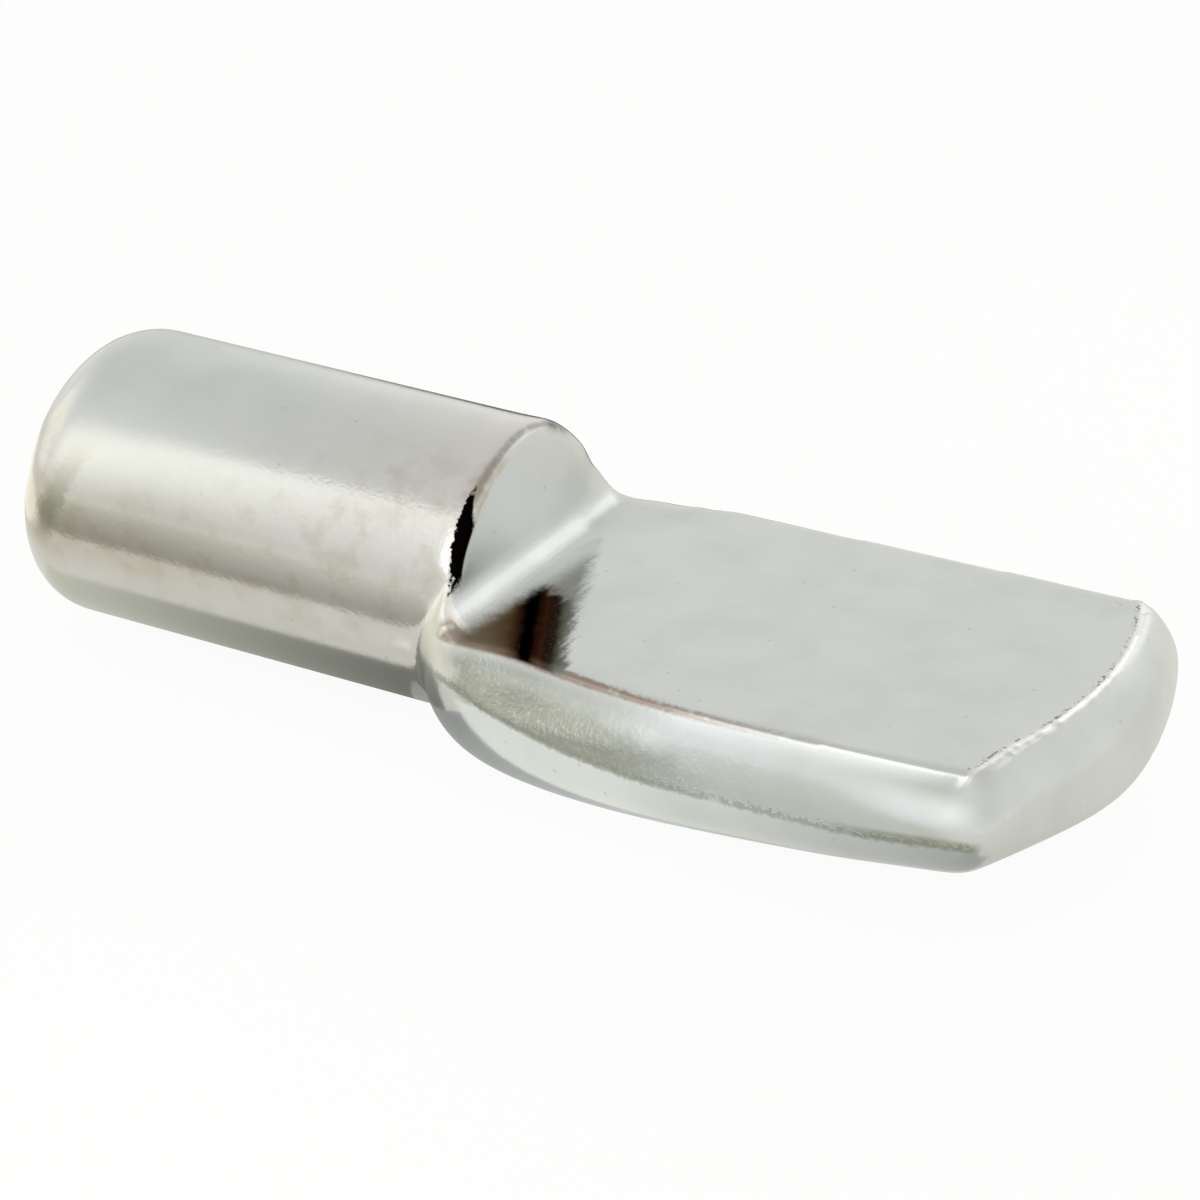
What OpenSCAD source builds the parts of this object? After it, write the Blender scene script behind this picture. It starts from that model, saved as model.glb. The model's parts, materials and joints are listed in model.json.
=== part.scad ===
// Spoon-type shelf support pin, cold-pressed from one piece of steel rod.
// The round pin goes into a hole in a cabinet side and points along -X.
// The pressed spoon points along +X and carries the shelf on its flat.
// Origin: on the pin's axis, in the plane where the swelling stops the pin.

/* [Pin] */
// Diameter of the round pin
pin_d = 6.3; // [4:0.1:10]
// Depth that goes into the hole, from the free end to the stop plane
pin_depth = 10.05; // [6:0.1:20]
// Rounding of the free end's rim
end_round = 1.4; // [0.4:0.1:1.8]
// Lean of the cropped free end, in degrees
crop_lean = 4.5; // [0:0.5:8]
// How much thicker the pin's root is at the shoulder than in the hole
root_flare = 0.02; // [0.01:0.01:0.1]

/* [Pressed flat] */
// Distance from the stop plane to the foot of the shoulder
shoulder_x = 1.05; // [0.6:0.05:2]
// Height of the flat above the pin's axis, at the foot of the shoulder
flat_h = 0.2; // [-0.5:0.05:1]
// Rise of the flat toward its tip, in degrees
flat_rise = 1.5; // [0:0.1:4]
// Length of the flat along its middle
flat_len = 12.4; // [9:0.1:20]
// Width of the flat
flat_w = 8.9; // [7:0.1:14]
// Radius of the fillet between the shoulder and the flat
foot_r = 0.65; // [0.3:0.05:1.2]

/* [Swelling above the waist] */
// Depth of the waist, the widest line, below the flat
waist_depth = 1.4; // [1:0.05:2]
// Height above the flat at which the swelling dies into the pin
swell_top = 0.8; // [0.4:0.05:1.2]
// How far each side stands out beyond the flat's edge
side_swell = 0.3; // [0.05:0.05:0.6]
// How far the nose rolls in at its top
nose_roll = 0.45; // [0.2:0.05:1.2]
// How far the tip stands out beyond the flat's end
tip_swell = 1; // [0.2:0.1:1.5]
// How much deeper the waist lies at the middle of the tip
tip_sink = 0.4; // [0:0.05:0.8]

/* [Belly below the waist] */
// Depth of the belly below the pin's lowest line
belly_drop = 0.05; // [0.02:0.01:0.3]
// How far the underside curves up toward the tip
keel_rise = 0.95; // [0:0.05:1.3]
// Rounding of the belly's long edges, measured across
belly_round = 2.2; // [1:0.1:3]
// Rounding of the belly's nose, measured along
nose_round = 1.1; // [0.5:0.1:2]
// Rounding of the belly's tip, measured along
tip_round = 2.6; // [1:0.1:5]

/* [Outline seen from above] */
// Length over which the nose narrows from the full width to its front
nose_len = 6; // [4:0.1:8]
// Fullness of the nose: 2 makes it an ellipse, and more makes it blunter
nose_fullness = 2.8; // [2:0.1:4]
// Radius of the tip
tip_r = 11; // [8:0.1:30]
// Sideways offset of the tip's arc, left by the crop
tip_y = 0.35; // [-0.6:0.05:0.6]
// Tightness of the two corners at the tip
tip_corner = 50; // [12:1:60]
// Bow of the long sides, at their middle
side_bow = 0.1; // [0.05:0.05:0.5]

/* [Hidden] */

nickel = "#c9ccc6";
fine = 96;
pin_r = pin_d / 2;

// Heights in the press frame, whose origin is the foot of the shoulder
belly_z = -(flat_h + pin_r + belly_drop);
top_h = waist_depth + swell_top;
press_over = pin_d;

// The roll-in of an elliptical edge at the flat's level, as a share of the whole
function flat_share(sink) = 1 - sqrt(1 - pow((waist_depth + sink) / (top_h + sink), 2));
side_roll = side_swell / flat_share(0);
tip_roll = tip_swell / flat_share(tip_sink);
half_w = flat_w / 2 + side_swell;
tip_x = flat_len + tip_swell;

// The nose meets the pin's side in the stop plane, at the height of the waist
pin_half_w = sqrt(pow(pin_r, 2) - pow(flat_h - waist_depth, 2));
nose_reach = nose_len * pow(1 - pow(pin_half_w / half_w, nose_fullness), 1 / nose_fullness);
centre_x = nose_reach - shoulder_x;

// The long sides are arcs about the middle of the spoon's length
mid_x = tip_x / 2;
side_r = (pow(mid_x, 2) + pow(side_bow, 2)) / (2 * side_bow);

// Bearings of the outline's points from the centre, closer together at the tip's corners
corner_bearing = atan2(half_w, tip_x - centre_x);
tip_steps = 10;
side_steps = 38;
side_crowding = 1.5;
least_cos = 0.001;
half_turn = concat(
    [for (k = [0 : tip_steps - 1]) corner_bearing * (1 - pow(1 - k / tip_steps, 2))],
    [for (k = [0 : side_steps - 1])
        corner_bearing + (180 - corner_bearing) * pow(k / side_steps, side_crowding)]);
bearings = concat(half_turn, [180], [for (k = [len(half_turn) - 1 : -1 : 1]) -half_turn[k]]);

// Distance from the centre to a circle about [cx, cy], along a bearing
function reach(b, cx, cy, r) =
    let (along = cos(b) * (cx - centre_x) + sin(b) * cy,
         across = sin(b) * (cx - centre_x) - cos(b) * cy)
    along + sqrt(pow(r, 2) - pow(across, 2));

// Two distances blended into the shorter one, with an eased corner between them
function eased(a, b, tightness) =
    let (least = min(a, b))
    least * pow(pow(least / a, tightness) + pow(least / b, tightness), -1 / tightness);

// One point of the outline, drawn in by side_in, tip_in and nose_in
function outline_point(b, side_in, tip_in, nose_in) =
    let (side = reach(abs(b), mid_x, half_w - side_r, side_r - side_in),
         dist = cos(b) > 0
            ? eased(side, reach(b, tip_x - tip_in - tip_r, tip_y, tip_r), tip_corner)
            : eased(side, (nose_len - nose_in) / max(-cos(b), least_cos), nose_fullness))
    [centre_x + dist * cos(b), dist * sin(b)];

// Height of the underside, which curves up toward the tip
function keel_z(x) = belly_z + keel_rise * pow(max(x, 0) / tip_x, 2);

// Height of the waist along a bearing: it sinks only across the tip
sink_hold = 20;
function waist_z(b) = -waist_depth - tip_sink * pow(max(cos(b), 0), sink_hold);

// Rings of the swollen spoon, from its underside up to its waist and on to its top
edge_steps = 9;
function lower_ring(turn) =
    [for (b = bearings)
        let (p = outline_point(b, belly_round * (1 - cos(turn)), tip_round * (1 - cos(turn)),
                nose_round * (1 - cos(turn))))
        [p.x, p.y, waist_z(b) + (keel_z(p.x) - waist_z(b)) * sin(turn)]];
function upper_ring(turn) =
    [for (b = bearings)
        let (p = outline_point(b, side_roll * (1 - cos(turn)), tip_roll * (1 - cos(turn)),
                nose_roll * (1 - cos(turn))))
        [p.x, p.y, waist_z(b) + (swell_top - waist_z(b)) * sin(turn)]];
rings = concat(
    [for (k = [edge_steps : -1 : 1]) lower_ring(90 * k / edge_steps)],
    [for (k = [0 : edge_steps]) upper_ring(90 * k / edge_steps)]);

// The press frame: its origin at the foot of the shoulder, its X along the flat
module in_press() {
    translate([shoulder_x, 0, flat_h])
        rotate([0, -flat_rise, 0])
            children();
}

// The rod that the piece starts as, cropped at a lean, with its end's rim rounded
module rod() {
    round_x = end_round - pin_depth;
    root_len = shoulder_x + foot_r / 2;
    translate([-pin_depth, 0, 0])
        multmatrix([[1, 0, tan(crop_lean), 0], [0, 1, 0, 0], [0, 0, 1, 0]])
            rotate([0, 90, 0])
                rounded_end();
    difference() {
        translate([-pin_depth, 0, 0])
            rotate([0, 90, 0])
                cylinder(h = pin_depth, r = pin_r, $fn = fine);
        translate([round_x, 0, 0])
            rotate([0, crop_lean, 0])
                translate([-pin_depth, -pin_d, -pin_d])
                    cube([pin_depth, 2 * pin_d, 2 * pin_d]);
    }
    rotate([0, 90, 0])
        cylinder(h = root_len, r1 = pin_r, r2 = pin_r + root_flare, $fn = fine);
}

// A disc as thick as the rounding of its lower rim
module rounded_end() {
    rotate_extrude($fn = fine) {
        square([pin_r - end_round, end_round]);
        translate([pin_r - end_round, end_round])
            intersection() {
                circle(end_round, $fn = fine);
                translate([0, -end_round])
                    square(end_round);
            }
    }
}

// The metal that the press spreads sideways and downwards
module swollen_spoon() {
    n = len(bearings);
    m = len(rings);
    walls = [for (j = [0 : m - 2], i = [0 : n - 1])
        [j * n + i, (j + 1) * n + i, (j + 1) * n + (i + 1) % n, j * n + (i + 1) % n]];
    underside = [for (i = [0 : n / 2 - 1])
        i == 0 ? [0, 1, n - 1] : i == n / 2 - 1 ? [i, i + 1, n - i] : [i, i + 1, n - i - 1, n - i]];
    top = [[for (i = [n - 1 : -1 : 0]) (m - 1) * n + i]];
    polyhedron(points = [for (ring = rings) each ring], faces = concat(walls, underside, top));
}

// The space that the press clears: over the flat and up the shoulder's face
module pressed_space() {
    rotate([90, 0, 0])
        linear_extrude(2 * flat_w, center = true) {
            translate([foot_r, 0])
                square([tip_x + press_over, press_over]);
            translate([0, foot_r])
                square([tip_x + press_over, press_over]);
            translate([foot_r, foot_r])
                circle(foot_r, $fn = fine);
        }
}

module shelf_pin() {
    color(nickel)
        difference() {
            union() {
                rod();
                in_press() swollen_spoon();
            }
            in_press() pressed_space();
        }
}

shelf_pin();
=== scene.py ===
import json
from math import atan2, cos, pi, radians, sin, sqrt, tan

import bmesh
import bpy
import numpy as np
from mathutils import Matrix, Vector


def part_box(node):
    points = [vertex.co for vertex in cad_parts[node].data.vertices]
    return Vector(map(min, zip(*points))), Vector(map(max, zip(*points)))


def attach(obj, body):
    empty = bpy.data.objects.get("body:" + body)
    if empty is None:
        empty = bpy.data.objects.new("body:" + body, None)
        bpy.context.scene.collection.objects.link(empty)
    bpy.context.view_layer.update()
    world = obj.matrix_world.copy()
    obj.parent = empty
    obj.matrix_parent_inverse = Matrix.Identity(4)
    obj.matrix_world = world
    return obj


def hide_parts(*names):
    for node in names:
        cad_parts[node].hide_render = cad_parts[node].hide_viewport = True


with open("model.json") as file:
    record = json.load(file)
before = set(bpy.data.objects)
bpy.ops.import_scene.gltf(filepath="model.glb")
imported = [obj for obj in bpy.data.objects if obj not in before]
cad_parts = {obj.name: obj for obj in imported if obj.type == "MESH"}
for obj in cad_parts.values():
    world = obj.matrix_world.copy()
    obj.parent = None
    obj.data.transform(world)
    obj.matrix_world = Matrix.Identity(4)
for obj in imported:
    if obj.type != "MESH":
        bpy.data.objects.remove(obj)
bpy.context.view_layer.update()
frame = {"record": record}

mm = 0.001
pinMount = next(m for m in frame["record"]["mounts"] if m["name"] == "pin")
cadLow, cadHigh = (Vector(corner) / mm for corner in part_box("shelf_pin"))

pin = {  # millimetres and degrees, in the frame of the CAD; the near side is -Y, the far side +Y
    # the rod
    "radius": pinMount["dims"]["r_mm"],
    "depth": 10.05,  # free end to stop plane
    "endRound": 1.4,
    "cropLean": 4.5,
    "rootFlare": 0.02,
    "rimRound": 0.35,  # edge of the shoulder, near side
    "farRimRound": 0.42,
    "farRimTurn": (-0.2, 0.7),  # cosines of the bearings between which the rim goes over to it
    "barrelStart": 0.4,  # first ring past the free end's rounding
    "around": 192,  # points in a ring, then rings in each stretch
    "endSteps": 16,
    "barrelSteps": 12,
    "rimSteps": 9,
    "hubShare": 0.02,  # of the end's radius, at which its face closes
    # the flat that the press leaves
    "shoulderX": 1.05,
    "flatHeight": 0.2,
    "flatRise": 1.5,
    "flatLength": 12.4,
    "flatWidth": 8.9,
    "footRadius": 0.65,  # fillet between shoulder and flat
    "footSteps": 25,
    "pressOver": 9.0,  # the press reaches past the spoon
    # the swelling
    "cadWaistDepth": 1.4,  # where the nose meets the rod's side
    "waistDepth": 1.6,
    "waistNoseRise": 0.76,  # how far the waist climbs towards the rod
    "waistNose": (-0.6, 5.6),  # and between which places along the spoon
    "waistCornerRise": 0.25,
    "waistCorner": (9.3, 12.6),
    "swellTop": 0.8,
    "sideSwell": 0.3,
    "sideRoll": 1.312,
    "noseRoll": 0.45,
    "tipSwell": 1.0,
    "tipRoll": 2.98,
    "tipSink": 0.5,
    "sinkHold": 20,  # holds the sink to the middle of the tip
    "bellyDrop": 0.05,
    "keelRise": 0.95,
    "bellyRound": 2.2,
    "noseRound": 1.1,
    "tipRound": 2.6,
    "noseLength": 6.0,
    "noseFullness": 2.8,
    "tipRadius": 11.0,
    "tipOffset": 0.35,
    "tipCorner": 50.0,
    "sideBow": 0.1,
    "tipSteps": 60,
    "sideSteps": 150,
    "sideCrowding": 1.5,
    "rollSteps": 26,
    # a second, higher swelling, kept only where it fills the ends of the foot
    "fillTop": 1.15,
    "fillBack": 0.1,
    "fillUp": (-0.5, 1.0),
    "fillReach": 6.0,
    # the skin
    "voxel": 0.086,
    "softenFactor": 0.5,
    "softenings": 7,
    "footSoftenings": 34,
    "neckSoftenings": 110,
    "farFootShare": 0.6,  # of the near foot's softening
    "leastShare": 0.01,
    # how far the press drew the flat's edges off their arcs, and between which places
    "nearEdgeIn": 0.62,
    "nearEdgeStart": (-0.3, 2.4),
    "nearEdgeStop": (0.0, 6.4),
    "nearEdgeBeside": (2.7, 3.8),
    "nearEdgeUp": (-0.75, 0.7, 0.8),
    "nearCornerIn": 0.18,
    "nearCornerAlong": (9.0, 12.0),
    "nearCornerOut": 0.3,
    "nearCornerBeside": (2.6, 4.5),
    "endEdgeOut": 0.06,
    "endEdgeReach": (5.5, 7.6),
    "endEdgeAlong": (9.5, 11.2),
    "endEdgeUp": (-1.3, 0.6, 1.2),
    # and where it left the foot's far end fuller
    "farFootRise": 0.16,
    "farFootWay": (0, 0.5, 0.87),
    "farNeckFill": 0.2,
    "farNeckWay": (0.35, 0.6, 0.72),
    "zones": {  # far side 1 or near side -1, then low, high and fade along, beside and up
        "farFoot": (1, (0.05, 1.35, 1.1), (2.9, 9, 1.8), (-0.5, 0.75, 0.7)),
        "farNeck": (1, (-0.65, 0.7, 0.8), (2.0, 9, 1.3), (0.45, 1.9, 0.9)),
        "softNearFoot": (-1, (-1.7, 0.6, 0.7), (2.4, 9, 0.9), (-0.6, 1.9, 0.7)),
        "softFarFoot": (1, (-0.75, 0.75, 0.7), (2.9, 9, 0.9), (-0.35, 1.3, 0.6)),
        "softFarNeck": (1, (-0.65, 1.5, 0.7), (2.2, 9, 0.8), (-0.3, 2.1, 0.6)),
    },
    # ridge round the waist and burr along the end
    "ridgeHeight": 0.03,
    "ridgeWidth": 0.11,
    "ridgeStart": (2.4, 2.6),
    "ridgeAlong": (0.4, 11.9, 1.6),
    "burrOut": 0.13,
    "burrHeight": 0.04,
    "burrWidth": 0.07,
    "burrUp": (-0.3, 0.2, 0.1),
    "burrAlong": (11.0, 11.6),
    "noseEdgeIn": 0.1,  # at the near edge's line
    "gritSize": 0.24,
    "gritRange": (0.3, 0.72),
    "gritMost": 1.3,
    "gritSeed": 3.0,
    "insideBox": 0.002,  # how far the skin stays inside the CAD's box
}

halfWidth = pin["flatWidth"] / 2 + pin["sideSwell"]
tipX = pin["flatLength"] + pin["tipSwell"]
midX = tipX / 2
sideRadius = (midX ** 2 + pin["sideBow"] ** 2) / (2 * pin["sideBow"])
rodHalfWidth = sqrt(pin["radius"] ** 2 - (pin["flatHeight"] - pin["cadWaistDepth"]) ** 2)
noseShare = 1 - (rodHalfWidth / halfWidth) ** pin["noseFullness"]
centreX = pin["noseLength"] * noseShare ** (1 / pin["noseFullness"]) - pin["shoulderX"]
bellyZ = -(pin["flatHeight"] + pin["radius"] + pin["bellyDrop"])
footAt = Matrix.Translation((pin["shoulderX"], 0, pin["flatHeight"]))
inPress = footAt @ Matrix.Rotation(-radians(pin["flatRise"]), 4, "Y")
leastCos = 0.001  # keeps the nose's reach finite straight across


def reach(bearing, cx, cy, radius):  # from the spoon's centre to a circle
    along = np.cos(bearing) * (cx - centreX) + np.sin(bearing) * cy
    across = np.sin(bearing) * (cx - centreX) - np.cos(bearing) * cy
    return along + np.sqrt(np.maximum(radius ** 2 - across ** 2, 0))


def eased(a, b, tightness):
    least = np.minimum(a, b)
    return least * ((least / a) ** tightness + (least / b) ** tightness) ** (-1 / tightness)


def rampUp(value, low, high):
    t = np.clip((value - low) / (high - low), 0, 1)
    return t * t * (3 - 2 * t)


def window(value, low, high, fade):
    half = fade / 2
    return rampUp(value, low - half, low + half) * (1 - rampUp(value, high - half, high + half))


def outlineAt(bearing, sideIn, tipIn, noseIn):
    side = reach(np.abs(bearing), midX, halfWidth - sideRadius, sideRadius - sideIn)
    tip = reach(bearing, tipX - tipIn - pin["tipRadius"], pin["tipOffset"], pin["tipRadius"])
    nose = (pin["noseLength"] - noseIn) / np.maximum(-np.cos(bearing), leastCos)
    ahead = np.cos(bearing) > 0
    tipEnd = eased(side, np.where(ahead, tip, 1), pin["tipCorner"])
    noseEnd = eased(side, nose, pin["noseFullness"])
    far = np.where(ahead, tipEnd, noseEnd)
    return centreX + far * np.cos(bearing), far * np.sin(bearing)


def waistAt(bearing):
    x = outlineAt(bearing, 0, 0, 0)[0]
    noseClimb = pin["waistNoseRise"] * (1 - rampUp(x, *pin["waistNose"]))
    climb = noseClimb + pin["waistCornerRise"] * rampUp(x, *pin["waistCorner"])
    return -pin["waistDepth"] + climb - pin["tipSink"] * np.maximum(np.cos(bearing), 0) ** pin["sinkHold"]


def spoonRings(swellTop):  # from the underside up to the waist and on to the top
    corner = atan2(halfWidth, tipX - centreX)
    tipShare = 1 - np.arange(pin["tipSteps"]) / pin["tipSteps"]
    sideShare = np.arange(pin["sideSteps"]) / pin["sideSteps"]
    half = np.concatenate([
        corner * (1 - tipShare ** 2),
        corner + (pi - corner) * sideShare ** pin["sideCrowding"]])
    bearing = np.concatenate([half, [pi], -half[:0:-1]])
    waist = waistAt(bearing)
    below = (pin["bellyRound"], pin["tipRound"], pin["noseRound"])
    above = (pin["sideRoll"], pin["tipRoll"], pin["noseRoll"])
    rings = []
    for k in range(-pin["rollSteps"], pin["rollSteps"] + 1):
        turn = pi / 2 * abs(k) / pin["rollSteps"]
        x, y = outlineAt(bearing, *(roll * (1 - cos(turn)) for roll in (below if k < 0 else above)))
        keel = bellyZ + pin["keelRise"] * (np.maximum(x, 0) / tipX) ** 2
        end = keel if k < 0 else swellTop
        rings.append(np.stack([x, y, waist + (end - waist) * sin(turn)], 1))
    return rings


def rodRings():
    angle = 2 * pi * np.arange(pin["around"]) / pin["around"]
    radius, depth, rounding, end = (pin[name] for name in ("radius", "depth", "endRound", "shoulderX"))
    farSide = rampUp(np.cos(angle), *pin["farRimTurn"]) * (np.sin(angle) > 0)
    rim = pin["rimRound"] + (pin["farRimRound"] - pin["rimRound"]) * farSide
    root = radius + pin["rootFlare"]
    hub = pin["hubShare"]
    # place along the rod, radius, and 1 where the crop's lean shears it
    profile = [(-depth, share * (radius - rounding), 1) for share in (hub, 0.5, 1)]
    for turn in np.linspace(0, pi / 2, pin["endSteps"] + 1)[1:]:
        profile.append((-depth + rounding * (1 - cos(turn)), radius - rounding * (1 - sin(turn)), 1))
    for x in np.linspace(-depth + rounding + pin["barrelStart"], 0, pin["barrelSteps"]):
        profile.append((x, radius, 0))
    for turn in np.linspace(0, pi / 2, pin["rimSteps"]):
        profile.append((end - rim + rim * sin(turn), root - rim * (1 - cos(turn)), 0))
    profile += [(end, share * (radius - rim), 0) for share in (0.5, hub)]
    lean = tan(radians(pin["cropLean"]))
    return [np.stack([x + lean * r * np.sin(angle) * sheared, r * np.cos(angle), r * np.sin(angle)], 1)
            for x, r, sheared in profile]


def pressSection():  # the space that the press clears, over the flat and up the shoulder
    foot, over = pin["footRadius"], pin["pressOver"]
    turns = np.linspace(0, pi / 2, pin["footSteps"])
    fillet = [(foot * (1 - cos(turn)), foot * (1 - sin(turn))) for turn in turns]
    return [(0, over)] + fillet + [(tipX + over, 0), (tipX + over, over)]


def fillSection():
    low, high = pin["fillUp"]
    back, front = -pin["fillBack"], pin["footRadius"]
    return [(back, low), (front, low), (front, high), (back, high)]


def barRings(section, halfLength):  # a section drawn out across the spoon
    return [np.array([(x, y, z) for x, z in section]) for y in (-halfLength, halfLength)]


def objectOf(name, bm):
    mesh = bpy.data.meshes.new(name)
    bm.to_mesh(mesh)
    bm.free()
    obj = bpy.data.objects.new(name, mesh)
    bpy.context.collection.objects.link(obj)
    return obj


def skinOver(name, rings, matrix=Matrix.Identity(4)):
    bm = bmesh.new()
    loops = [[bm.verts.new(matrix @ Vector(point)) for point in ring] for ring in rings]
    count = len(rings[0])
    for low, high in zip(loops, loops[1:]):
        for i in range(count):
            bm.faces.new((low[i], low[(i + 1) % count], high[(i + 1) % count], high[i]))
    bm.faces.new(list(reversed(loops[0])))
    bm.faces.new(loops[-1])
    bmesh.ops.triangulate(bm, faces=[face for face in bm.faces if len(face.verts) > 4])
    bmesh.ops.recalc_face_normals(bm, faces=bm.faces)
    return objectOf(name, bm)


def settle(obj):  # modifiers into plain mesh
    mesh = bpy.data.meshes.new_from_object(obj.evaluated_get(bpy.context.evaluated_depsgraph_get()))
    obj.modifiers.clear()
    obj.data = mesh
    return mesh


def cut(obj, tool, operation):
    step = obj.modifiers.new("cut", "BOOLEAN")
    step.operation, step.solver, step.object = operation, "EXACT", tool
    settle(obj)


def soften(obj, name, rounds):
    step = obj.modifiers.new(name, "SMOOTH")
    step.factor, step.iterations = pin["softenFactor"], rounds
    return step


# rod and swollen spoon, cleared by the press
rod = skinOver("rod", rodRings())
spoon = skinOver("spoon", spoonRings(pin["swellTop"]), inPress)
footFill = skinOver("footFill", spoonRings(pin["fillTop"]), inPress)
footBlock = skinOver("footBlock", barRings(fillSection(), pin["fillReach"]), inPress)
press = skinOver("press", barRings(pressSection(), pin["pressOver"]), inPress)
cut(footFill, footBlock, "INTERSECT")
for part in (rod, spoon, footFill):
    cut(part, press, "DIFFERENCE")
print("built the rod and the spoon")

# melted into one skin
bm = bmesh.new()
for part in (rod, spoon, footFill):
    bm.from_mesh(part.data)
pinMetal = objectOf("pinMetal", bm)
for part in (rod, spoon, footFill, footBlock, press):
    bpy.data.objects.remove(part)
skin = pinMetal.modifiers.new("skin", "REMESH")
skin.mode, skin.voxel_size, skin.adaptivity = "VOXEL", pin["voxel"], 0
soften(pinMetal, "soften", pin["softenings"])
mesh = settle(pinMetal)


def placesOf(mesh):
    flat = np.zeros(len(mesh.vertices) * 3)
    mesh.vertices.foreach_get("co", flat)
    return flat.reshape(-1, 3)


def inPressFrame(points):
    back = np.array(inPress.inverted())
    return points @ back[:3, :3].T + back[:3, 3]


def inZone(name, xyz, share=1):
    side, along, beside, up = pin["zones"][name]
    x, y, z = xyz
    return share * window(x, *along) * window(side * y, *beside) * window(z, *up)


def nearEdgePull(x):  # how far the flat's near edge is drawn in
    atFoot = pin["nearEdgeIn"] * (1 - rampUp(x, *pin["nearEdgeStop"])) * rampUp(x, *pin["nearEdgeStart"])
    return atFoot + pin["nearCornerIn"] * rampUp(x, *pin["nearCornerAlong"])


def endEdgePush(y, further=0):  # how far the flat's end edge is drawn out, most at its near corner
    return pin["endEdgeOut"] + further + pin["nearCornerOut"] * rampUp(-y, *pin["nearCornerBeside"])


# the press draws the flat's edges off their arcs and leaves the foot's far end fuller
places = placesOf(mesh)
xyz = inPressFrame(places).T
x, y, z = xyz
nearSide = rampUp(-y, *pin["nearEdgeBeside"])
places[:, 1] += nearEdgePull(x) * nearSide * window(z, *pin["nearEdgeUp"])
ahead = rampUp(np.hypot(x - centreX, y) * (x > centreX), *pin["endEdgeReach"])
ahead = endEdgePush(y) * ahead * rampUp(x, *pin["endEdgeAlong"])
places[:, 0] += ahead * window(z, *pin["endEdgeUp"])
rise = inZone("farFoot", xyz, pin["farFootRise"])
fill = inZone("farNeck", xyz, pin["farNeckFill"])
places += rise[:, None] * np.array(pin["farFootWay"]) + fill[:, None] * np.array(pin["farNeckWay"])
mesh.vertices.foreach_set("co", places.ravel())

# and both ends of the foot softer
softFoot = np.maximum(inZone("softNearFoot", xyz), inZone("softFarFoot", xyz, pin["farFootShare"]))
softNeck = inZone("softFarNeck", xyz)
for name, share, rounds in (("softFoot", softFoot, pin["footSoftenings"]),
                            ("softNeck", softNeck, pin["neckSoftenings"])):
    group = pinMetal.vertex_groups.new(name=name)
    for i in np.nonzero(share > pin["leastShare"])[0]:
        group.add([int(i)], float(share[i]), "REPLACE")
    soften(pinMetal, name, rounds).vertex_group = name
mesh = settle(pinMetal)
pinMetal.vertex_groups.clear()

# marks in millimetres: over the waist's line, and past the flat's end and near edges
places = placesOf(mesh)
x, y, z = inPressFrame(places).T
bearing = np.arctan2(y, x - centreX)
fromCentre = np.hypot(x - centreX, y)
edgeX, edgeY = outlineAt(bearing, pin["sideSwell"], pin["tipSwell"], 0)
sideY = outlineAt(bearing, pin["sideSwell"], pin["tipSwell"], pin["noseEdgeIn"])[1]
burrShift = endEdgePush(y, pin["burrOut"]) * np.cos(bearing)
marks = {
    "overWaist": z - waistAt(bearing),
    "pastEnd": fromCentre - np.hypot(edgeX - centreX, edgeY) - burrShift,
    "pastSide": -y - np.abs(sideY) + nearEdgePull(x),
    "ridgeShare": rampUp(fromCentre, *pin["ridgeStart"]) * window(x, *pin["ridgeAlong"]),
    "burrShare": window(z, *pin["burrUp"]) * rampUp(x, *pin["burrAlong"]),
}
for name, values in marks.items():
    mesh.attributes.new(name, "FLOAT", "POINT").data.foreach_set("value", values.astype(np.float32))


def toLinear(code):
    parts = [int(code[i:i + 2], 16) / 255 for i in (1, 3, 5)]
    return [p / 12.92 if p <= 0.04045 else ((p + 0.055) / 1.055) ** 2.4 for p in parts] + [1]


def addNode(tree, kind, settings=None, **sockets):  # sockets by name, or i0, i1 … by number
    node = tree.nodes.new(kind)
    for key, value in (settings or {}).items():
        setattr(node, key, value)
    for key, value in sockets.items():
        socket = node.inputs[int(key[1:])] if key[0] == "i" and key[1:].isdigit() else node.inputs[key]
        if isinstance(value, bpy.types.NodeSocket):
            tree.links.new(value, socket)
        else:
            socket.default_value = value
    return node


multiply, divide, multiplyAdd = ({"operation": name} for name in ("MULTIPLY", "DIVIDE", "MULTIPLY_ADD"))
nickel = bpy.data.materials.new("nickelPlate")

# ridge round the waist and burr along the end, raised by geometry nodes
tree = bpy.data.node_groups.new("ridgeAndBurr", "GeometryNodeTree")
tree.interface.new_socket("Geometry", in_out="OUTPUT", socket_type="NodeSocketGeometry")
tree.interface.new_socket("Geometry", in_out="INPUT", socket_type="NodeSocketGeometry")
sizes = {
    "Ridge height": pin["ridgeHeight"],
    "Ridge width": pin["ridgeWidth"],
    "Burr height": pin["burrHeight"],
    "Burr width": pin["burrWidth"],
    "Grit size": pin["gritSize"],
    "Seed": pin["gritSeed"],
}
for name in sizes:
    tree.interface.new_socket(name, in_out="INPUT", socket_type="NodeSocketFloat")
tree.interface.new_socket("Material", in_out="INPUT", socket_type="NodeSocketMaterial")
given = tree.nodes.new("NodeGroupInput").outputs
grain = addNode(tree, "ShaderNodeMath", divide, i0=1.0, i1=given["Grit size"])
grit = addNode(tree, "ShaderNodeTexNoise", {"noise_dimensions": "4D"},
               W=given["Seed"], Scale=grain.outputs[0], Detail=1)
rough = addNode(tree, "ShaderNodeMapRange", i0=grit.outputs[0],
                i1=pin["gritRange"][0], i2=pin["gritRange"][1], i3=0.0, i4=pin["gritMost"])
lift = 0.0
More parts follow.
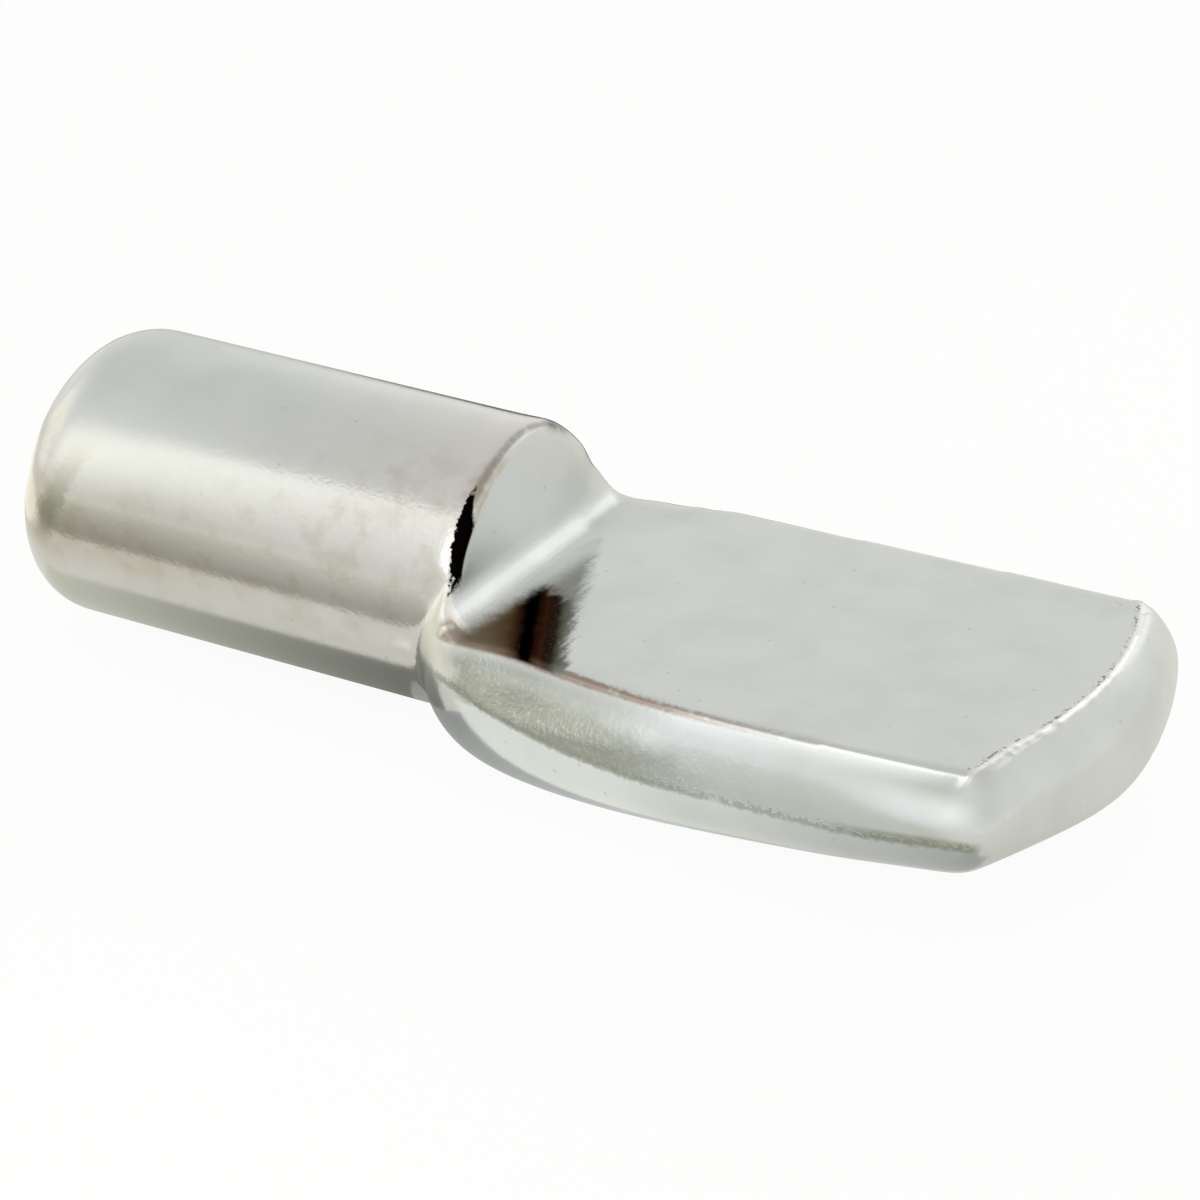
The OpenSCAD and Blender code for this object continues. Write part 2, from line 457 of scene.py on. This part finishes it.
for line, share, part in (("overWaist", "ridgeShare", "Ridge"), ("pastEnd", "burrShare", "Burr")):
    away = addNode(tree, "GeometryNodeInputNamedAttribute", Name=line)
    near = addNode(tree, "GeometryNodeInputNamedAttribute", Name=share)
    scaled = addNode(tree, "ShaderNodeMath", divide, i0=away.outputs[0], i1=given[part + " width"])
    squared = addNode(tree, "ShaderNodeMath", {"operation": "POWER"}, i0=scaled.outputs[0], i1=2.0)
    lowered = addNode(tree, "ShaderNodeMath", multiply, i0=squared.outputs[0], i1=-1.0)
    bell = addNode(tree, "ShaderNodeMath", {"operation": "EXPONENT"}, i0=lowered.outputs[0])
    there = addNode(tree, "ShaderNodeMath", multiply, i0=bell.outputs[0], i1=near.outputs[0])
    raised = addNode(tree, "ShaderNodeMath", multiply, i0=there.outputs[0], i1=given[part + " height"])
    summed = addNode(tree, "ShaderNodeMath", multiplyAdd, i0=raised.outputs[0], i1=rough.outputs[0], i2=lift)
    lift = summed.outputs[0]
outward = tree.nodes.new("GeometryNodeInputNormal")
offset = addNode(tree, "ShaderNodeVectorMath", {"operation": "SCALE"}, i0=outward.outputs[0], Scale=lift)
moved = addNode(tree, "GeometryNodeSetPosition", Geometry=given["Geometry"], Offset=offset.outputs[0])
real = addNode(tree, "GeometryNodeRealizeInstances", Geometry=moved.outputs[0])
dressed = addNode(tree, "GeometryNodeSetMaterial", Geometry=real.outputs[0], Material=given["Material"])
addNode(tree, "NodeGroupOutput", Geometry=dressed.outputs[0])
raising = pinMetal.modifiers.new("ridgeAndBurr", "NODES")
raising.node_group = tree
for item in tree.interface.items_tree:
    if item.name in sizes:
        raising[item.identifier] = sizes[item.name]
    if item.name == "Material":
        raising[item.identifier] = nickel
mesh = settle(pinMetal)

places = placesOf(mesh)
low, high = np.array(cadLow) + pin["insideBox"], np.array(cadHigh) - pin["insideBox"]
mesh.vertices.foreach_set("co", np.clip(places, low, high).ravel())
mesh.update()
print("skin:", len(mesh.vertices), "points,", sum(len(p.vertices) - 2 for p in mesh.polygons), "triangles")
mesh.transform(Matrix.Scale(mm, 4))
mesh.shade_smooth()
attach(pinMetal, "root")
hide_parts("shelf_pin")

# bright nickel plate over pressed steel: it flows over the metal, so it shines softly, is faintly
# pebbled, and tarnishes brown and olive where the bath left it thin; some highlights and dark reflections are
# painted into its colour too
nickelFinish = {  # colours as sRGB, sizes in millimetres
    "metal": "#d7d9d6",
    "mottled": "#cfd2cf",
    "mottleRange": (0.35, 0.75),
    "pinMetal": "#dad7d3",
    "warmTarnish": "#b4a78d",
    "oliveTarnish": "#a2a497",
    "greenTarnish": "#7d8168",
    "waistReflectionGrey": "#878a7b",
    "noseHighlightTone": "#f6f4ea",
    "cornerReflectionGrey": "#8b8c86",
    "edgeTan": "#927a6c",
    "rimGrey": "#7d776c",
    "topEdgeReflectionGrey": "#4a4845",
    "burrShine": "#f7f4ee",
    "burrDirt": "#5a564c",
    "black": "#080504",
    "stripe": (  # distance off the darkest stripe of the painted corner reflection, and the colour there
        (-1.0, "#8a7d6c"), (-0.5, "#756656"), (-0.26, "#56463a"), (-0.1, "#0b0504"),
        (0.04, "#040202"), (0.14, "#4a372d"), (0.3, "#5c493d"), (0.42, "#4a4038"),
        (0.55, "#4f4a42"), (0.7, "#7a7a71"), (0.85, "#8b8c86")),
    "layers": (  # each over the last: place, strength and colour; several are painted highlights and painted dark reflections
        ("onPin", 0.7, "pinMetal"),
        ("specks", 0.35, "oliveTarnish"),
        ("haze", 0.4, "warmTarnish"),
        ("endOliveBand", 0.55, "greenTarnish"),
        ("thinPlate", 0.5, "oliveTarnish"),
        ("blotches", 0.3, "warmTarnish"),
        ("oliveSide", 0.95, "oliveTarnish"),
        ("noseHighlight", 0.85, "noseHighlightTone"),
        ("greenLine", 0.55, "greenTarnish"),
        ("waistRidgeAndReflection", 0.5, "waistReflectionGrey"),
        ("halo", 0.5, "warmTarnish"),
        ("rimLine", 0.55, "rimGrey"),
        ("topEdgeReflection", 0.85, "topEdgeReflectionGrey"),
        ("edgeLine", 0.8, "edgeTan"),
        ("burrHighlight", 0.8, "burrShine"),
        ("burrDirt", 0.8, "burrDirt"),
        ("paintedCornerReflection", 1.0, "cornerReflectionGrey"),
        ("scorched", 1.0, "stripe"),
        ("rimDarkReflection", 1.0, "black")),
    "roughness": 0.17,
    "pebbleHeight": 0.0035,
    "beadHeight": 0.012,
    "grains": {  # size and detail; the pebbles are drawn coarser than the real ones, so that they show
        "pebble": (0.13, 3),
        "warp": (0.3, 2),
        "fray": (0.09, 2),
        "mottle": (1.6, 4),
        "beads": (0.08, 1),
        "cloud": (0.7, 3),
        "wash": (2.6, 2),
    },
    "streaks": {  # how often they change along, beside and up, per millimetre, and their slant
        "hairs": ((12, 0.9, 0.9), 0),
        "smears": ((5, 0.6, 0.6), 25),
    },
    "speckSpacing": 0.55,
    "speckEdge": (0.1, 0.05),  # in shares of the spacing
    "speckShare": (0.62, 0.7),  # only cells that draw more than this have one
    "bandMiddle": 40,  # where the painted dark rim reflection is widest, in degrees about the rod
    "bandSpan": 26,
    "bandFray": 14.0,
}

# what the finish is made of: "sum" adds weighted terms to its last number, and "mark" multiplies
# windows that go from 0 at their first limit to 1 at their second
recipe = {
    # a dark reflection painted as a ragged black band along the shoulder's near rim
    "bandHigh": ("mark", ("angle", 38, 58)),
    "rimRagged": ("sum", ("along", 1), ("fray", 0.2), ("warp", 0.16), ("bandDip", -0.25), 0.09),
    "rimInner": ("sum", ("along", 1), ("bandHigh", 0.17), ("fray", 0.05), -0.025),
    "rimDarkReflection": (
        "mark", ("rimRagged", -0.015, 0.02), ("angle", 7, 13), ("bandTop", 66, 58),
        ("radius", 2.84, 2.9), ("rimInner", 0.02, -0.02), ("across", -0.5, -1.2)),
    "halo": (
        "mark", ("rimRagged", -0.36, 0.02), ("angle", 18, 40), ("angle", 108, 60),
        ("radius", 2.8, 2.95), ("along", 0.03, 0.0), ("warp", 0.25, 0.65)),
    "rimLine": (
        "mark", ("along", -0.24, -0.12), ("along", 0.0, -0.08), ("angle", 44, 54),
        ("radius", 2.78, 2.9), ("angle", 140, 112), ("warp", 0.2, 0.55)),
    # painted dark reflection along the rod's top edge beside the shoulder
    "crestReach": ("sum", ("along", 1), ("cloud", 1.6), 0.0),
    "topEdgeReflection": (
        "mark", ("crestReach", -1.7, -0.3), ("along", 0.02, -0.1), ("angle", 104, 112),
        ("angle", 130, 118), ("radius", 2.8, 2.95), ("warp", 0.2, 0.6)),
    # a dark reflection painted in the near corner of the foot, darkest along a stripe across it
    "patchLeft": ("sum", ("along", 1), ("across", -0.09), ("fray", 0.16), ("warp", 0.16), -0.16),
    "patchRight": (
        "sum", ("along", -1), ("across", -0.38), ("hairs", 0.42), ("fray", 0.18), ("warp", 0.2), 1.03),
    "patchFoot": ("mark", ("across", -2.9, -4.0)),
    "patchTorn": ("sum", ("patchRight", 1), ("patchFoot", 0.16), 0.0),
    "paintedCornerReflection": (
        "mark", ("patchLeft", 0.5, 1.25), ("patchTorn", -0.16, 0.26), ("up", 0.4, 0.2),
        ("up", -0.14, -0.05), ("across", 1.4, 0.9)),
    "stripeOff": ("sum", ("along", 1), ("across", 0.47), ("warp", 0.14), ("smears", 0.1), -0.415),
    "stripeReflectionTop": ("sum", ("across", 1), ("along", 0.45), ("warp", 0.6), ("smears", 0.8), -0.7),
    "stripeReflectionPart": ("mark", ("stripeReflectionTop", 0.0, -0.8)),
    "scorched": ("mark", ("paintedCornerReflection", 0, 1), ("stripeReflectionPart", 0, 1)),
    "stripeShare": ("sum", ("stripeOff", 0.5), 0.5),
    # dull line along the flat's near edge
    "edgeHeight": ("sum", ("up", 1), ("fray", 0.05), 0.0),
    "edgeOff": ("sum", ("pastSide", 1), ("fray", 0.12), -0.06),
    "edgeLine": (
        "mark", ("edgeHeight", -0.16, -0.08), ("edgeOff", -0.12, -0.04), ("edgeOff", 0.22, 0.1),
        ("up", 0.3, 0.1), ("across", -2.9, -3.4), ("along", -0.2, 0.2), ("along", 10.5, 4.0),
        ("warp", 0.2, 0.5)),
    # painted highlight along the burr at the flat's end, with dirt caught behind it
    "burrHighlight": (
        "mark", ("pastEnd", -0.07, -0.02), ("pastEnd", 0.09, 0.03), ("up", -0.3, -0.12),
        ("along", 11.0, 11.5), ("warp", 0.1, 0.45)),
    "burrDirt": (
        "mark", ("pastEnd", -0.17, -0.1), ("pastEnd", -0.02, -0.06), ("up", -0.1, -0.05),
        ("along", 11.0, 11.5), ("fray", 0.5, 0.56), ("warp", 0.42, 0.55)),
    # rough ridge round the waist, with a dark reflection painted along it and beads over it, and tarnish on
    # the side
    "waistLow": ("sum", ("overWaist", 1), ("fray", 0.16), -0.08),
    "waistHigh": ("sum", ("overWaist", 1), ("fray", 0.3), ("beads", 0.3), -0.3),
    "onSpoon": ("mark", ("radius", 3.25, 3.4), ("along", 12.5, 11.9)),
    "waistRidgeAndReflection": (
        "mark", ("waistLow", -0.1, -0.02), ("waistHigh", 0.12, 0.02), ("onSpoon", 0, 1),
        ("along", -0.9, 0.4), ("warp", 0.1, 0.5)),
    "beadReach": ("sum", ("overWaist", 1), ("cloud", 0.8), -0.4),
    "beadBand": (
        "mark", ("overWaist", -0.12, 0.02), ("beadReach", 0.75, 0.2), ("along", 0.6, 2.4),
        ("along", 9.0, 6.0), ("onSpoon", 0, 1), ("across", -3, -4)),
    "oliveStart": ("sum", ("along", 1), ("cloud", 1.2), -0.6),
    "oliveReach": ("sum", ("along", -0.16), ("overWaist", -1), ("cloud", 1.0), 1.35),
    "oliveTop": ("sum", ("up", 1), ("along", 0.1), -0.35),
    "oliveSide": (
        "mark", ("overWaist", -0.1, 0.05), ("oliveReach", -0.2, 0.6), ("oliveTop", -0.05, -0.85),
        ("fray", -0.25, 0.6), ("oliveStart", -0.1, 0.9), ("along", 7.4, 4.2), ("onSpoon", 0, 1)),
    "thinPlate": (
        "mark", ("along", 5.5, 9.5), ("up", -0.05, -0.45), ("overWaist", -0.05, 0.1),
        ("pastEnd", 0.1, -0.4), ("onSpoon", 0, 1), ("across", -2, -3)),
    "greenLine": (
        "mark", ("overWaist", -0.06, 0.02), ("overWaist", 0.22, 0.1), ("along", 8.6, 10.2),
        ("onSpoon", 0, 1), ("across", 0, -2)),
    # painted highlight over the top of the nose
    "noseReach": ("sum", ("along", 1), ("cloud", 0.9), 0.0),
    "noseHighlight": (
        "mark", ("noseReach", 1.3, 0.4), ("overWaist", -0.1, 0.15), ("radius", 3.18, 3.3),
        ("across", -2.2, -2.9)),
    # the rod: warm haze over its near side, a darker olive band where its end starts to round, faint blotches
    "hazeReach": ("sum", ("angle", 1), ("wash", 34), -17),
    "haze": (
        "mark", ("hazeReach", 34, 16), ("angle", -16, -2), ("along", -3.0, -8.5),
        ("radius", 3.3, 3.1), ("radius", 1.9, 2.7)),
    "endOliveReach": ("sum", ("along", 1), ("angle", -0.024), ("fray", 0.3), ("warp", 0.3), -0.3),
    "endOliveBand": (
        "mark", ("endOliveReach", -10.5, -10.1), ("endOliveReach", -9.65, -9.95), ("angle", -8, 4),
        ("angle", 40, 26), ("radius", 1.9, 2.7)),
    "onPin": ("mark", ("along", 0.0, -0.05), ("radius", 3.3, 3.16)),
    "blotches": ("mark", ("cloud", 0.46, 0.7), ("angle", -30, 0), ("angle", 78, 52), ("onPin", 0, 1)),
    "frost": ("mark", ("angle", 18, 34), ("angle", 62, 44), ("onPin", 0, 1)),
    # dullness and relief
    "noseSatin": ("mark", ("along", 1.4, 0.4), ("overWaist", -0.3, 0.2), ("radius", 3.2, 3.35)),
    "endFace": ("mark", ("pastEnd", 0.05, 0.3), ("up", -0.02, -0.1), ("along", 11.2, 12.0)),
    "shoulderFace": ("mark", ("along", -0.05, 0.0), ("along", 0.5, 0.2), ("up", 0.3, 0.6)),
    "flatTop": ("mark", ("up", -0.12, 0.0), ("radius", 3.0, 2.6)),
    "belly": ("mark", ("overWaist", -0.05, -0.3)),
    "dullness": (
        "sum", ("endFace", 0.1), ("shoulderFace", 0.16), ("noseSatin", 0.22), ("endOliveBand", 0.12),
        ("rimDarkReflection", 0.3), ("paintedCornerReflection", 0.12), ("oliveSide", 0.12), ("waistRidgeAndReflection", 0.15), ("frost", 0.05),
        ("cloud", 0.03), nickelFinish["roughness"] - 0.015),  # less the cloud's own mean
    # where the dark reflections are painted
    "darkReflectionShare": ("sum", ("rimDarkReflection", 1), ("scorched", 1), 0.0),
    "cornerCalm": ("mark", ("along", 7.5, 10.0), ("up", -0.05, -0.2)),
    "pebbleShare": (
        "sum", ("cornerCalm", -0.85), ("flatTop", -0.5), ("belly", -0.4), ("oliveSide", 0.8),
        ("frost", 0.5), 1.0),
    "beadShare": (
        "sum", ("waistRidgeAndReflection", 0.8), ("beadBand", 1), ("oliveSide", 0.6), ("rimDarkReflection", 0.25),
        ("frost", 0.3), 0.0),
}

nickel.use_nodes = True
tree = nickel.node_tree
shader = tree.nodes["Principled BSDF"]
onPiece = addNode(tree, "ShaderNodeTexCoord").outputs["Object"]
pressed = addNode(tree, "ShaderNodeMapping", {"vector_type": "TEXTURE"}, Vector=onPiece,
                  Location=(pin["shoulderX"] * mm, 0, pin["flatHeight"] * mm),
                  Rotation=(0, -radians(pin["flatRise"]), 0), Scale=(mm, mm, mm))
spot = pressed.outputs[0]  # millimetres from the foot of the shoulder
known = dict(zip(("along", "across", "up"), addNode(tree, "ShaderNodeSeparateXYZ", Vector=spot).outputs))
for name in ("overWaist", "pastEnd", "pastSide"):
    known[name] = addNode(tree, "ShaderNodeAttribute", {"attribute_name": name}).outputs["Fac"]
for name, (size, detail) in nickelFinish["grains"].items():
    known[name] = addNode(tree, "ShaderNodeTexNoise", Vector=spot, Scale=1 / size, Detail=detail).outputs[0]
for name, (often, slant) in nickelFinish["streaks"].items():
    drawn = addNode(tree, "ShaderNodeMapping", Vector=spot, Rotation=(0, 0, radians(slant)), Scale=often)
    known[name] = addNode(tree, "ShaderNodeTexNoise", Vector=drawn.outputs[0], Scale=1, Detail=3).outputs[0]

# bearing and distance about the rod's axis, the bearing from the near side up
axisUp = addNode(tree, "ShaderNodeMath", {"operation": "ADD"},
                 i0=known["up"], i1=pin["flatHeight"]).outputs[0]
nearward = addNode(tree, "ShaderNodeMath", multiply, i0=known["across"], i1=-1.0).outputs[0]
turned = addNode(tree, "ShaderNodeMath", {"operation": "ARCTAN2"}, i0=axisUp, i1=nearward).outputs[0]
known["angle"] = addNode(tree, "ShaderNodeMath", {"operation": "DEGREES"}, i0=turned).outputs[0]
beside = addNode(tree, "ShaderNodeCombineXYZ", X=known["across"], Y=axisUp).outputs[0]
distance = addNode(tree, "ShaderNodeVectorMath", {"operation": "LENGTH"}, Vector=beside)
known["radius"] = distance.outputs["Value"]

bandMiddle, bandSpan = nickelFinish["bandMiddle"], nickelFinish["bandSpan"]
bandTurn = addNode(tree, "ShaderNodeMath", multiplyAdd,
                   i0=known["angle"], i1=1 / bandSpan, i2=-bandMiddle / bandSpan).outputs[0]
known["bandDip"] = addNode(tree, "ShaderNodeMath", {"operation": "POWER"}, i0=bandTurn, i1=2.0).outputs[0]
known["bandTop"] = addNode(tree, "ShaderNodeMath", multiplyAdd,
                           i0=known["fray"], i1=nickelFinish["bandFray"], i2=known["angle"]).outputs[0]
smoothly = {"interpolation_type": "SMOOTHSTEP"}
for name, (kind, *parts) in recipe.items():
    value = parts.pop() if kind == "sum" else None
    for source, first, *second in parts:
        if kind == "sum":
            term = addNode(tree, "ShaderNodeMath", multiplyAdd, i0=known[source], i1=first, i2=value)
            value = term.outputs[0]
            continue
        share = addNode(tree, "ShaderNodeMapRange", smoothly, i0=known[source], i1=first, i2=second[0])
        if value is None:
            value = share.outputs[0]
        else:
            value = addNode(tree, "ShaderNodeMath", multiply, i0=value, i1=share.outputs[0]).outputs[0]
    known[name] = value

# pinholes in the plate, in some cells of a field
field = addNode(tree, "ShaderNodeTexVoronoi", Vector=spot, Scale=1 / nickelFinish["speckSpacing"]).outputs
draw = addNode(tree, "ShaderNodeSeparateXYZ", Vector=field["Color"])
(edgeFrom, edgeTo), (someFrom, someTo) = nickelFinish["speckEdge"], nickelFinish["speckShare"]
near = addNode(tree, "ShaderNodeMapRange", i0=field["Distance"], i1=edgeFrom, i2=edgeTo)
some = addNode(tree, "ShaderNodeMapRange", i0=draw.outputs[0], i1=someFrom, i2=someTo)
known["specks"] = addNode(tree, "ShaderNodeMath", multiply, i0=near.outputs[0], i1=some.outputs[0]).outputs[0]

# colour
stripe = addNode(tree, "ShaderNodeValToRGB", Fac=known["stripeShare"])
while len(stripe.color_ramp.elements) < len(nickelFinish["stripe"]):
    stripe.color_ramp.elements.new(0.5)
for element, (where, tone) in zip(stripe.color_ramp.elements, nickelFinish["stripe"]):
    element.position, element.color = 0.5 + where / 2, toLinear(tone)
coloured = {"data_type": "RGBA"}
mottleFrom, mottleTo = nickelFinish["mottleRange"]
mottling = addNode(tree, "ShaderNodeMapRange", smoothly, i0=known["mottle"], i1=mottleFrom, i2=mottleTo)
colour = addNode(tree, "ShaderNodeMix", coloured, Factor=mottling.outputs[0],
                 A=toLinear(nickelFinish["metal"]), B=toLinear(nickelFinish["mottled"])).outputs["Result"]
for name, strength, tone in nickelFinish["layers"]:
    part = addNode(tree, "ShaderNodeMath", multiply, i0=known[name], i1=strength)
    tone = stripe.outputs[0] if tone == "stripe" else toLinear(nickelFinish[tone])
    over = addNode(tree, "ShaderNodeMix", coloured, Factor=part.outputs[0], A=colour, B=tone)
    colour = over.outputs["Result"]
glint = addNode(tree, "ShaderNodeMix", coloured,  # the painted dark reflections have no grazing shine
                Factor=known["darkReflectionShare"], A=toLinear("#ffffff"), B=toLinear("#000000"))

# relief
pebbles = addNode(tree, "ShaderNodeMath", multiply, i0=known["pebble"], i1=known["pebbleShare"])
beading = addNode(tree, "ShaderNodeMath", multiply, i0=known["beads"], i1=known["beadShare"])
relief = addNode(tree, "ShaderNodeBump", Height=pebbles.outputs[0],
                 Strength=1, Distance=nickelFinish["pebbleHeight"] * mm)
relief = addNode(tree, "ShaderNodeBump", Height=beading.outputs[0],
                 Strength=1, Distance=nickelFinish["beadHeight"] * mm, Normal=relief.outputs[0])
tree.links.new(colour, shader.inputs["Base Color"])
tree.links.new(known["dullness"], shader.inputs["Roughness"])
tree.links.new(glint.outputs["Result"], shader.inputs["Specular Tint"])
tree.links.new(relief.outputs[0], shader.inputs["Normal"])
shader.inputs["Metallic"].default_value = 1
print("material nickelPlate:", len(tree.nodes), "nodes")

studio = {  # strengths at which 1 is white, and places in millimetres over the floor
    "horizon": 0.95,
    "zenith": 0.76,
    "skyFade": (0.1, 0.9),
    "skyTint": "#fffffd",
    "white": "#ffffff",
    "floorColour": "#f4f3e8",
    "floorSheen": 0.38,
    "floorWhite": 0.94,
    "floorSize": 3000,
    "cards": {  # each glows from one strength to the other along its own length
        "frontCard": {
            "centre": (-95, -120, 90), "turn": (90, 0, 0), "size": (170, 180),
            "glow": (0.77, 1.38), "bend": 0.8, "tint": "#fcfdf8"},
        "leftCard": {
            "centre": (-150, -6, 54), "turn": (90, 0, -90), "size": (94, 108),
            "glow": (1.16, 1.2), "tint": "#fffff6"},
        "nearCard": {
            "centre": (-0.9, -26, 12.2), "turn": (90, 0, 0), "size": (15.8, 24),
            "glow": (0.97, 2.0), "tint": "#fcfdff"},
        "sideCard": {
            "centre": (15, 25, 16.6), "turn": (62, 0, 152), "size": (22, 18),
            "glow": (1.06, 1.06), "tint": "#ffffff"},
        "sideGlow": {
            "centre": (14.9, 24.9, 16.5), "turn": (62, 0, 152), "size": (14, 11),
            "glow": (1.26, 1.26), "tint": "#ffffff"},
        "greyStrip": {
            "centre": (-21, -26, 0.05), "size": (20, 38), "lean": 0.532,
            "glow": (0.76, 0.42), "bend": 4, "tint": "#fbfcf0"},
        "paleStrip": {
            "centre": (-4.3, -26.5, 0.04), "size": (13.4, 37), "lean": 0.532,
            "glow": (0.86, 0.7), "bend": 5, "tint": "#fafcf6"},
        # painted shade: a dim sheet under the rod that its underside mirrors in place of the floor's shade
        "shadeStrip": {
            "centre": (-5.2, -0.6, 0.02), "turn": (0, 0, 90), "size": (5.4, 11.6),
            "glow": (0.2, 0.85), "bend": 1.4, "tint": "#f2f6e8"},
        "whiteStrip": {
            "centre": (6.2, -6.05, 0.03), "turn": (0, 0, 96), "size": (4.6, 16),
            "glow": (0.46, 1.04), "until": 0.17, "tint": "#fbfdf8"},
        # painted shade: a dim sheet under the spoon that its lower edge mirrors in place of the floor's shade
        "underShadeStrip": {
            "centre": (2.75, -2.35, 0.025), "turn": (0, 0, 96), "size": (3.4, 7.3),
            "glow": (0.75, 0.42), "until": 0.85, "tint": "#f6f9f6"},
        "endStrip": {
            "centre": (-22, 1, 0.03), "size": (13, 13),
            "glow": (1.25, 1.25), "tint": "#fffff6"},
        "backStrip": {
            "centre": (-17, 26, 0.02), "size": (26, 42), "lean": -0.53,
            "glow": (0.18, 0.18), "tint": "#f4f4f8"},
    },
}


def layFlat(name, centre, size, material, turn=(0, 0, 0), lean=0):  # a lean makes it a parallelogram
    halfX, halfY = size[0] / 2 * mm, size[1] / 2 * mm
    skew = lean * halfY
    corners = [(-halfX - skew, -halfY, 0), (halfX - skew, -halfY, 0),
               (halfX + skew, halfY, 0), (-halfX + skew, halfY, 0)]
    mesh = bpy.data.meshes.new(name)
    mesh.from_pydata(corners, [], [(0, 1, 2, 3)])
    mesh.materials.append(material)
    obj = bpy.data.objects.new(name, mesh)
    bpy.context.collection.objects.link(obj)
    obj.location = Vector((centre[0], centre[1], centre[2] + cadLow.z)) * mm
    obj.rotation_euler = [radians(angle) for angle in turn]
    return obj


def emptyTree(holder):
    holder.use_nodes = True
    holder.node_tree.nodes.clear()
    return holder.node_tree


# matt off-white paper: nearly white to the camera, paler than itself to the metal, under the pin's
# own soft shadow
paper = bpy.data.materials.new("studioPaper")
tree = emptyTree(paper)
lit = addNode(tree, "ShaderNodeBsdfDiffuse", Color=toLinear(studio["floorColour"]))
seen = addNode(tree, "ShaderNodeEmission", Color=toLinear(studio["white"]), Strength=1)
path = addNode(tree, "ShaderNodeLightPath").outputs
toCamera = addNode(tree, "ShaderNodeMath", multiply, i0=path["Is Camera Ray"], i1=studio["floorWhite"])
toGloss = addNode(tree, "ShaderNodeMath", multiplyAdd,
                  i0=path["Is Glossy Ray"], i1=studio["floorSheen"], i2=toCamera.outputs[0])
mix = addNode(tree, "ShaderNodeMixShader", i0=toGloss.outputs[0], i1=lit.outputs[0], i2=seen.outputs[0])
addNode(tree, "ShaderNodeOutputMaterial", Surface=mix.outputs[0])
layFlat("floor", (0, 0, 0), (studio["floorSize"], studio["floorSize"]), paper)

# glowing cards for the metal to mirror; the strips lie just over the floor and don't light it
for name, card in studio["cards"].items():
    glowing = bpy.data.materials.new(name)
    tree = emptyTree(glowing)
    halfLength = card["size"][1] / 2 * mm
    place = addNode(tree, "ShaderNodeTexCoord").outputs["Object"]
    where = addNode(tree, "ShaderNodeSeparateXYZ", Vector=place)
    fade = addNode(tree, "ShaderNodeMapRange",
                   i0=where.outputs[1], i1=-halfLength, i2=halfLength * card.get("until", 1))
    bent = addNode(tree, "ShaderNodeMath", {"operation": "POWER"}, i0=fade.outputs[0], i1=card.get("bend", 1))
    level = addNode(tree, "ShaderNodeMapRange", i0=bent.outputs[0], i3=card["glow"][0], i4=card["glow"][1])
    glow = addNode(tree, "ShaderNodeEmission", Color=toLinear(card["tint"]), Strength=level.outputs[0])
    addNode(tree, "ShaderNodeOutputMaterial", Surface=glow.outputs[0])
    turn, lean = card.get("turn", (0, 0, 0)), card.get("lean", 0)
    obj = layFlat(name, card["centre"], card["size"], glowing, turn, lean)
    obj.visible_camera = obj.visible_shadow = False
    obj.visible_diffuse = "Strip" not in name

# soft room, white behind the pin
world = bpy.data.worlds.new("studio")
bpy.context.scene.world = world
tree = emptyTree(world)
heading = addNode(tree, "ShaderNodeTexCoord").outputs["Generated"]
way = addNode(tree, "ShaderNodeSeparateXYZ", Vector=heading)
fadeFrom, fadeTo = studio["skyFade"]
sky = addNode(tree, "ShaderNodeMapRange",
              i0=way.outputs[2], i1=fadeFrom, i2=fadeTo, i3=studio["horizon"], i4=studio["zenith"])
room = addNode(tree, "ShaderNodeBackground", Color=toLinear(studio["skyTint"]), Strength=sky.outputs[0])
white = addNode(tree, "ShaderNodeBackground", Color=toLinear(studio["white"]), Strength=1)
path = addNode(tree, "ShaderNodeLightPath").outputs
mix = addNode(tree, "ShaderNodeMixShader", i0=path["Is Camera Ray"], i1=room.outputs[0], i2=white.outputs[0])
addNode(tree, "ShaderNodeOutputWorld", Surface=mix.outputs[0])

cameraView = {  # millimetres and degrees
    "azimuth": 28.01,
    "elevation": 25.89,
    "roll": -1.455,
    "distance": 90.23,
    "target": (2.74, 0, -0.216),
    "lens": 132,
    "sensor": 36,
}
camera = bpy.data.objects.new("camera", bpy.data.cameras.new("camera"))
bpy.context.collection.objects.link(camera)
azimuth, elevation = radians(cameraView["azimuth"]), radians(cameraView["elevation"])
back = Vector((sin(azimuth) * cos(elevation), -cos(azimuth) * cos(elevation), sin(elevation)))
roll = Matrix.Rotation(-radians(cameraView["roll"]), 3, "Z")
camera.location = (Vector(cameraView["target"]) + back * cameraView["distance"]) * mm
camera.rotation_euler = (back.to_track_quat("Z", "Y").to_matrix() @ roll).to_euler()
camera.data.lens = cameraView["lens"]
camera.data.sensor_width = cameraView["sensor"]
camera.data.clip_start = mm
bpy.context.scene.camera = camera
bpy.context.scene.view_settings.view_transform = "Standard"
print("stage and camera set")
